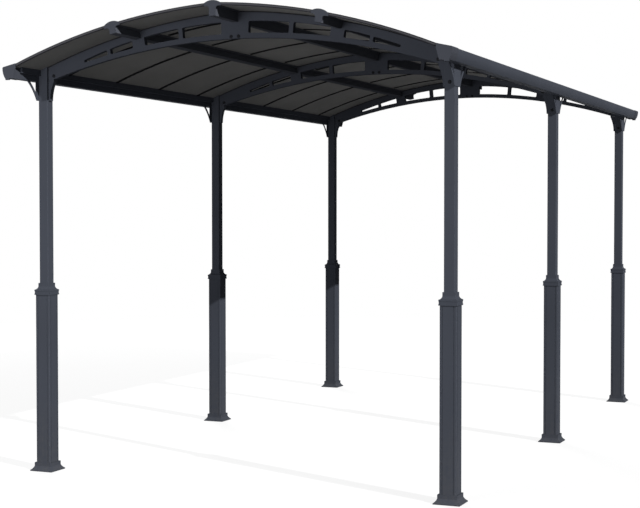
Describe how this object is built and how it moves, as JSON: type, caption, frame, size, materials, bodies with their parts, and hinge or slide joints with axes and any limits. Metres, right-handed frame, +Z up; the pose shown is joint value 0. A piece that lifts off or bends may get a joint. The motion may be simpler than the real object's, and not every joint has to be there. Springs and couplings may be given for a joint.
{
  "type": "carport",
  "caption": "Open-sided carport: square posts with thicker lower sleeves carry cut-out arch trusses, purlins, eave gutters and a curved roof of dark translucent sheets.",
  "frame": {"origin": "on the ground, at the middle of the carport's footprint", "axes": "+X to the right across the width, +Y along the length towards the back, +Z up"},
  "size_m": [2.7436, 5.09, 2.7118],
  "materials": {
    "post_coat": "satin anthracite powder coat",
    "sleeve_coat": "satin anthracite powder coat",
    "foot_coat": "satin anthracite powder coat",
    "collar_coat": "satin anthracite",
    "head_coat": "satin anthracite powder coat",
    "arch_coat": "satin anthracite powder coat",
    "gutter_coat": "satin anthracite powder coat",
    "purlin_coat": "satin anthracite powder coat",
    "roof_sheet": "dark translucent multi-wall sheet",
    "seam_coat": "satin anthracite powder coat",
    "end_cap": "satin grey"
  },
  "bodies": {
    "root": {"post_left_front": "post_coat", "post_left_middle": "post_coat", "post_left_back": "post_coat", "post_right_front": "post_coat", "post_right_middle": "post_coat", "post_right_back": "post_coat", "sleeve_left_front": "sleeve_coat", "sleeve_left_middle": "sleeve_coat", "sleeve_left_back": "sleeve_coat", "sleeve_right_front": "sleeve_coat", "sleeve_right_middle": "sleeve_coat", "sleeve_right_back": "sleeve_coat", "foot_left_front": "foot_coat", "foot_left_middle": "foot_coat", "foot_left_back": "foot_coat", "foot_right_front": "foot_coat", "foot_right_middle": "foot_coat", "foot_right_back": "foot_coat", "collars_left": "collar_coat", "collars_right": "collar_coat", "head_left_front": "head_coat", "head_left_middle": "head_coat", "head_left_back": "head_coat", "head_right_front": "head_coat", "head_right_middle": "head_coat", "head_right_back": "head_coat", "arch_front": "arch_coat", "arch_middle": "arch_coat", "arch_back": "arch_coat", "gutter_left": "gutter_coat", "gutter_right": "gutter_coat", "purlin_ridge": "purlin_coat", "purlin_left": "purlin_coat", "purlin_right": "purlin_coat", "panels_left_low": "roof_sheet", "panels_left_high": "roof_sheet", "panels_right_high": "roof_sheet", "panels_right_low": "roof_sheet", "seam_bars": "seam_coat", "trim_front": "seam_coat", "trim_back": "seam_coat", "eave_strips": "gutter_coat", "eave_rails": "gutter_coat", "gutter_caps": "end_cap", "purlin_caps": "end_cap"}
  },
  "joints": []
}
